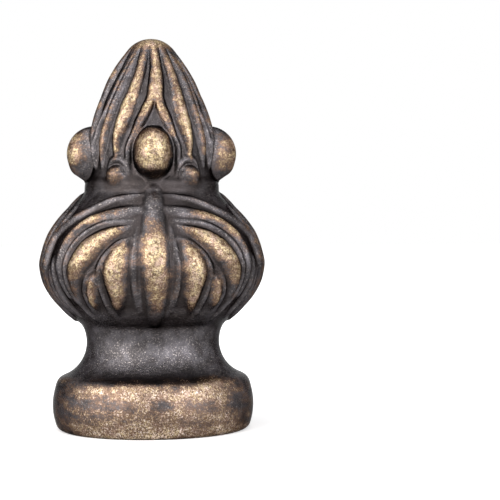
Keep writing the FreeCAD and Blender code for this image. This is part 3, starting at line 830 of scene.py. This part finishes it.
def antique_finish():
    """Dark bronze patina, worn through to brass where the skin's field says, with painted
    shade that keeps brass from the sides and from under the bulb.
    """
    material, tree, shader = new_material("antique_casting")
    place = add(tree, "ShaderNodeTexCoord").outputs["Object"]
    wear_and_shade = add(tree, "ShaderNodeAttribute", attribute_name="wear_and_shade").outputs["Fac"]
    hollow_darkening = add(tree, "ShaderNodeAttribute", attribute_name="hollow_grime_and_shade").outputs["Fac"]

    def noise(scale, detail, where=place, rough=0.6):
        return add(tree, "ShaderNodeTexNoise", {
            "Vector": where, "Scale": scale, "Detail": detail,
            "Roughness": rough}).outputs["Fac"]

    def spread(value, low, high, to_low=0.0, to_high=1.0):
        return add(tree, "ShaderNodeMapRange", {
            "Value": value, "From Min": low, "From Max": high,
            "To Min": to_low, "To Max": to_high}).outputs["Result"]

    def blend(share, a, b):
        return add(tree, "ShaderNodeMix", {0: share, MIX_A: a, MIX_B: b},
                   data_type="RGBA").outputs[MIX_RESULT]

    def total(*values):
        result = values[0]
        for value in values[1:]:
            result = maths(tree, "ADD", result, value)
        return result

    # where brass shows through the finish, from the wear and painted shade stored on the
    # skin, with a ragged edge
    specks = noise(12000, 3)
    flecks = noise(5000, 4)
    clouds = noise(1000, 4)
    squashed = add(tree, "ShaderNodeVectorMath", {0: place, 1: STREAK_SQUASH},
                   operation="MULTIPLY").outputs[0]
    streaks = noise(420, 3, squashed, rough=0.5)
    ragged = total(spread(specks, 0.3, 0.7, -0.14, 0.14),
                   spread(flecks, 0.3, 0.7, -0.2, 0.2),
                   spread(clouds, 0.3, 0.7, -0.18, 0.18),
                   spread(streaks, 0.35, 0.65, -0.2, 0.2))
    brass_shown = spread(total(wear_and_shade, ragged), 0.1, 1.0)
    brass_shown = maths(tree, "MULTIPLY", brass_shown, spread(wear_and_shade, 0.02, 0.16))

    # brass: brown to pale yellow, pink clouds, dark and light specks
    brass = blend(spread(noise(3000, 5), 0.4, 0.57),
                  tone(90, 68, 44), tone(220, 198, 153))
    brass = blend(spread(noise(1400, 4), 0.48, 0.62, 0.0, 0.8),
                  brass, tone(188, 157, 144))
    brass = blend(spread(specks, 0.55, 0.4, 0.0, 0.9), brass, tone(74, 56, 42))
    brass = blend(spread(noise(15000, 2), 0.54, 0.66, 0.0, 0.75),
                  brass, tone(240, 224, 206))

    # the foot is scuffed on table tops, so its wear is coarser
    height = add(tree, "ShaderNodeSeparateXYZ", {"Vector": place}).outputs["Z"]
    on_foot = spread(height, SCUFFS_END, SCUFFS_FULL)
    scuffs = noise(8000, 3)
    for low, high, scuff in ((0.48, 0.4, tone(66, 52, 46)),
                             (0.53, 0.61, tone(244, 228, 218))):
        share = spread(scuffs, low, high, 0.0, 0.85)
        brass = blend(maths(tree, "MULTIPLY", on_foot, share), brass, scuff)

    # patina: two greys, pale flecks, and a darker tone in the hollows that is partly grime
    # and partly painted shade
    patina = blend(spread(clouds, 0.4, 0.65), tone(66, 63, 64), tone(93, 90, 93))
    patina = blend(spread(noise(8500, 4), 0.56, 0.7), patina, tone(150, 143, 140))
    # grime with painted shade: the patina is darkened in the hollows
    patina = blend(spread(hollow_darkening, 0.05, 0.8, 0.0, 0.85), patina, tone(46, 41, 40))
    umber = blend(spread(brass_shown, 0.0, 0.45), patina, tone(108, 85, 70))

    bump = add(tree, "ShaderNodeBump", {
        "Strength": 0.42, "Distance": 0.07 * MM, "Height": total(specks, flecks)})
    feed(tree, shader, {
        "Base Color": blend(spread(brass_shown, 0.3, 1.0), umber, brass),
        "Metallic": spread(brass_shown, 0.0, 1.0, 1.0, 0.88),
        "Roughness": total(spread(specks, 0.3, 0.7, 0.13, 0.22),
                           spread(brass_shown, 0.1, 0.8, 0.0, 0.15)),
        "Specular IOR Level": 0.3,
        "Specular Tint": (0.3, 0.3, 0.3, 1),
        "Normal": bump.outputs["Normal"],
    })
    return material


antique = antique_finish()
print("antique finish:", len(antique.node_tree.nodes), "nodes")

# %% [markdown]
# ## The turned bush
#
# The bush is bar-turned brass, left bright. Its body is a turned outline
# again. Fine rings from the tool show in its roughness and as a slight bump,
# and a wave texture with level bands gives both.

# %% Turned brass
def turned_brass():
    """Bright bar-turned brass with fine rings from the tool."""
    material, tree, shader = new_material("turned_brass")
    place = add(tree, "ShaderNodeTexCoord").outputs["Object"]
    wave = add(tree, "ShaderNodeTexWave", {
        "Vector": place, "Scale": 3600.0, "Distortion": 1.5, "Detail": 2.0,
        "Detail Scale": 2.0}, bands_direction="Z").outputs["Fac"]
    rough = add(tree, "ShaderNodeMapRange", {
        "Value": wave, "To Min": 0.2, "To Max": 0.34}).outputs["Result"]
    mottled = add(tree, "ShaderNodeTexNoise", {
        "Vector": place, "Scale": 900.0, "Detail": 3.0}).outputs["Fac"]
    ramp = add(tree, "ShaderNodeValToRGB", {"Fac": mottled})
    ramp.color_ramp.elements[0].color = tone(222, 196, 130)
    ramp.color_ramp.elements[1].color = tone(240, 222, 170)
    bump = add(tree, "ShaderNodeBump", {
        "Strength": 0.2, "Distance": 0.03 * MM, "Height": wave})
    feed(tree, shader, {
        "Base Color": ramp.outputs["Color"],
        "Metallic": 1.0,
        "Roughness": rough,
        "Normal": bump.outputs["Normal"],
    })
    return material


bright_brass = turned_brass()

# %% Bush body
BUSH = [  # closed outline of the bush: radius and height
    (3.1, 0.0), (5.35, 0.0), (5.5, 0.15), (5.5, 0.9), (5.4, 1.0), (4.3, 1.0),
    (4.3, 2.9), (4.55, 3.0), (4.55, 6.72), (4.35, 6.9), (3.1, 6.9),
    (2.86, 6.6), (2.86, 0.3),
]
BUSH_COLUMNS = 160

bush_rings = np.stack([ring(r, z, BUSH_COLUMNS) for r, z in BUSH + BUSH[:1]])
bush_body = skin_from_rings("bush_body", bush_rings)
print("bush body:", len(bush_body.polygons), "faces")

# %% [markdown]
# ## The threads
#
# The three threads, two on the bush and one in the casting's hole, are ridges
# that follow a helix, which is what Geometry Nodes do well: a spiral is made
# from named sizes, a small profile is swept along it and tapers at both ends,
# and the result is kept as a plain mesh. The ridge in the hole lies half a
# pitch above the one on the bush.

# %% Thread tree
STEPS_A_TURN = 72
PROFILE_CORNERS = 6
END_TAPER = 12.0  # the ends taper over one twelfth of the length
THINNEST = 0.05  # what is left of the profile at the very ends


def thread_tree():
    """A Geometry Nodes group: a thread's ridge along a helix, from named sizes."""
    tree = bpy.data.node_groups.new("thread_ridge", "GeometryNodeTree")
    face = tree.interface
    for name in ("Radius", "Pitch", "Turns", "Ridge depth", "Start height"):
        face.new_socket(name, in_out="INPUT", socket_type="NodeSocketFloat")
    face.new_socket("Finish", in_out="INPUT", socket_type="NodeSocketMaterial")
    face.new_socket("Geometry", in_out="OUTPUT", socket_type="NodeSocketGeometry")
    given = tree.nodes.new("NodeGroupInput").outputs

    spiral = add(tree, "GeometryNodeCurveSpiral", {
        "Resolution": STEPS_A_TURN, "Rotations": given["Turns"],
        "Start Radius": given["Radius"], "End Radius": given["Radius"],
        "Height": maths(tree, "MULTIPLY", given["Pitch"], given["Turns"])})
    profile = add(tree, "GeometryNodeCurvePrimitiveCircle", {
        "Resolution": PROFILE_CORNERS, "Radius": given["Ridge depth"]})
    share = add(tree, "GeometryNodeSplineParameter").outputs["Factor"]
    rest = maths(tree, "SUBTRACT", 1.0, share)
    ends = maths(tree, "MINIMUM", maths(tree, "MULTIPLY", share, END_TAPER),
                 maths(tree, "MULTIPLY", rest, END_TAPER))
    taper = maths(tree, "MINIMUM", maths(tree, "MAXIMUM", ends, THINNEST), 1.0)
    sweep = add(tree, "GeometryNodeCurveToMesh", {
        "Curve": spiral.outputs["Curve"], "Profile Curve": profile.outputs["Curve"],
        "Scale": taper, "Fill Caps": True})
    lift = add(tree, "ShaderNodeCombineXYZ", {"Z": given["Start height"]})
    move = add(tree, "GeometryNodeTransform", {
        "Geometry": sweep.outputs["Mesh"], "Translation": lift.outputs["Vector"]})
    real = add(tree, "GeometryNodeRealizeInstances", {
        "Geometry": move.outputs["Geometry"]})
    finish = add(tree, "GeometryNodeSetMaterial", {
        "Geometry": real.outputs["Geometry"], "Material": given["Finish"]})
    add(tree, "NodeGroupOutput", {"Geometry": finish.outputs["Geometry"]})
    return tree


ridge_tree = thread_tree()
print("thread tree:", len(ridge_tree.nodes), "nodes")

# %% Threads
PITCH = 0.94


def thread_mesh(name, radius, turns, depth, start, finish):
    """Run the tree with these sizes and keep its result as a plain mesh."""
    holder = bpy.data.objects.new(name, bpy.data.meshes.new(name))
    bpy.context.scene.collection.objects.link(holder)
    modifier = holder.modifiers.new("thread", "NODES")
    modifier.node_group = ridge_tree
    sizes = {"Radius": radius * MM, "Pitch": PITCH * MM, "Turns": turns,
             "Ridge depth": depth * MM, "Start height": start * MM,
             "Finish": finish}
    for socket in ridge_tree.interface.items_tree:
        if socket.in_out == "INPUT":
            modifier[socket.identifier] = sizes[socket.name]
    bpy.context.view_layer.update()
    ready = holder.evaluated_get(bpy.context.evaluated_depsgraph_get())
    mesh = bpy.data.meshes.new_from_object(ready)
    bpy.data.objects.remove(holder)
    return mesh


outer_thread = thread_mesh("outer_thread", radius=4.55, turns=3.8, depth=0.33,
                           start=3.15, finish=bright_brass)
stud_thread = thread_mesh("stud_thread", radius=2.9, turns=6.4, depth=0.3,
                          start=0.45, finish=bright_brass)
hole_thread = thread_mesh("hole_thread", radius=5.04, turns=5.6, depth=0.15,
                          start=1.74, finish=antique)
print("threads:", [len(mesh.polygons) for mesh in (outer_thread, stud_thread,
                                                   hole_thread)])

# %% [markdown]
# ## Two finished pieces
#
# A thread is cut from the same metal as its body, so the closed shells of a
# piece are kept together as one mesh. Doubled points are merged and the faces
# turned outwards before the piece gets its material. The bush's corners are
# shaded as sharp edges, and the casting's are left soft.

# %% Finished pieces
SAME_POINT = 1e-7  # metres


def finished(name, shells, material, smooth_angle=None):
    """One object for several closed shells, with its faces turned outwards."""
    work = bmesh.new()
    for shell in shells:
        work.from_mesh(shell)
    bmesh.ops.remove_doubles(work, verts=work.verts, dist=SAME_POINT)
    bmesh.ops.recalc_face_normals(work, faces=work.faces)
    mesh = bpy.data.meshes.new(name)
    work.to_mesh(mesh)
    work.free()
    mesh.materials.append(material)
    mesh.shade_smooth()
    if smooth_angle is not None:
        mesh.set_sharp_from_angle(angle=math.radians(smooth_angle))
    piece = bpy.data.objects.new(name, mesh)
    bpy.context.scene.collection.objects.link(piece)
    return piece


bush = finished("threaded_bush_turned", [bush_body, outer_thread, stud_thread],
                bright_brass, smooth_angle=35)
casting = finished("carved_casting", [casting_skin, hole_thread], antique)
for piece in (bush, casting):
    print(piece.name, len(piece.data.polygons), "faces")

# %% [markdown]
# ## Riding on the frame
#
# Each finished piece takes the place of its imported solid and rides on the
# same body, so that the casting comes off its bush in the posed views.

# %% Ride
for piece, node, body, slot in (
    (casting, "finial_casting", "casting", "antique_casting"),
    (bush, "threaded_bush", "bush", "turned_brass"),
):
    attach(piece, body)
    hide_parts(node)
    print(piece.name, "rides on", body)

# %% [markdown]
# ## Floor and light
#
# The finial stands on a plain pale floor before a white ground. Two large soft
# lamps stand to the left and right in front and a smaller one hangs above, as
# in a small product studio. Bright metal shows what is round it, so the
# ground is white in reflections too, while it lights the scene only dimly.

# %% White ground
DIM, FULL = 0.3, 1.0


def white_ground():
    """White to the camera and in reflections, and a plain dim light otherwise."""
    world = bpy.data.worlds.new("studio")
    bpy.context.scene.world = world
    world.use_nodes = True
    tree = world.node_tree
    tree.nodes.clear()
    path = add(tree, "ShaderNodeLightPath").outputs
    seen = maths(tree, "MAXIMUM", path["Is Camera Ray"], path["Is Glossy Ray"])
    clear = maths(tree, "MAXIMUM", seen, path["Is Transmission Ray"])
    strength = add(tree, "ShaderNodeMapRange", {
        "To Min": DIM, "To Max": FULL, "Value": clear}).outputs["Result"]
    ground = add(tree, "ShaderNodeBackground", {
        "Color": (1, 1, 1, 1), "Strength": strength})
    add(tree, "ShaderNodeOutputWorld", {"Surface": ground.outputs[0]})


white_ground()
print("ground lights the scene at", DIM, "and shows at", FULL)

# %% Pale floor
FLOOR_REACH = 1.2  # metres to each side
GLOW_NEAR, GLOW_FAR = 0.02, 0.12  # metres from the axis, dim near and full far


def pale_floor():
    """A floor that is white to the camera and still takes the shadow."""
    material, tree, shader = new_material("pale_floor")
    place = add(tree, "ShaderNodeTexCoord").outputs["Object"]
    away = add(tree, "ShaderNodeVectorMath", {"Vector": place},
               operation="LENGTH").outputs["Value"]
    brightness = add(tree, "ShaderNodeMapRange", {
        "Value": away, "From Min": GLOW_NEAR, "From Max": GLOW_FAR,
        "To Min": 0.45, "To Max": 1.0}).outputs["Result"]
    seen = add(tree, "ShaderNodeLightPath").outputs["Is Camera Ray"]
    feed(tree, shader, {
        "Base Color": (0.85, 0.85, 0.85, 1),
        "Roughness": 0.9,
        "Specular IOR Level": 0.0,
        "Emission Color": (1, 1, 1, 1),
        "Emission Strength": maths(tree, "MULTIPLY", seen, brightness),
    })
    mesh = bpy.data.meshes.new("floor")
    corners = [(x * FLOOR_REACH, y * FLOOR_REACH, 0)
               for x, y in ((-1, -1), (1, -1), (1, 1), (-1, 1))]
    mesh.from_pydata(corners, [], [(0, 1, 2, 3)])
    mesh.materials.append(material)
    floor = bpy.data.objects.new("floor", mesh)
    bpy.context.scene.collection.objects.link(floor)
    floor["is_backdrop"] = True


pale_floor()
print("floor:", 2 * FLOOR_REACH, "m across")

# %% Lamps
MIDDLE = (0, 0, 17 * MM)


def soft_lamp(name, place, size, power, colour=(1, 1, 1)):
    """A square soft lamp that looks at the middle of the finial."""
    data = bpy.data.lights.new(name, "AREA")
    data.shape = "SQUARE"
    data.size = size
    data.energy = power
    data.color = colour
    lamp = bpy.data.objects.new(name, data)
    lamp.location = place
    view = Vector(MIDDLE) - Vector(place)
    lamp.rotation_euler = view.to_track_quat("-Z", "Y").to_euler()
    bpy.context.scene.collection.objects.link(lamp)


soft_lamp("left_lamp", (-0.22, -0.16, 0.09), 0.32, 1.15, (1.0, 0.98, 0.96))
soft_lamp("right_lamp", (0.168, -0.219, 0.09), 0.3, 0.86, (0.98, 0.98, 1.0))
soft_lamp("top_lamp", (-0.03, -0.06, 0.3), 0.2, 0.4)
print("lamps:", len(bpy.data.lights))

# %% [markdown]
# ## Camera
#
# The finial stands left of the middle of the picture. The camera looks from
# about half its height with a long lens, and it turns to the right and a
# little down and leans slightly, instead of moving or shifting the lens.

# %% Camera
PICTURE = 500  # pixels across
FOCUS_PIXELS = 1529.0
SENSOR = 36.0
AXIS_LEFT = 97.7  # pixels from the middle to the finial's axis
HORIZON_ABOVE = 23.1  # pixels from the middle to the camera's own level
DISTANCE = 130 * MM
LEVEL = 17 * MM
TURN = math.radians(-1.3)
LEAN = math.radians(0.35)

camera_data = bpy.data.cameras.new("camera")
camera_data.sensor_width = SENSOR
camera_data.lens = FOCUS_PIXELS / PICTURE * SENSOR
camera_data.clip_start = 0.005
camera_data.clip_end = 10
camera = bpy.data.objects.new("camera", camera_data)
bpy.context.scene.collection.objects.link(camera)
camera.location = (DISTANCE * math.sin(TURN), -DISTANCE * math.cos(TURN), LEVEL)
pan = math.atan(AXIS_LEFT / FOCUS_PIXELS)
tilt = math.atan(HORIZON_ABOVE / FOCUS_PIXELS)
camera.rotation_euler = (math.pi / 2 - tilt, LEAN, TURN - pan)
bpy.context.scene.camera = camera
bpy.context.scene.view_settings.view_transform = "Standard"
print("lens:", round(camera_data.lens, 1), "mm")

# %% [markdown]
# ## Sizes
#
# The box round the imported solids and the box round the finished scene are
# written side by side, so that any growth or shrinking of the finial shows.

# %% Sizes and finish
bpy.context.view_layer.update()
for cad, made in zip(cad_box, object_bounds()):
    print("box:", [round(v / MM, 2) for v in cad], [round(v / MM, 2) for v in made])
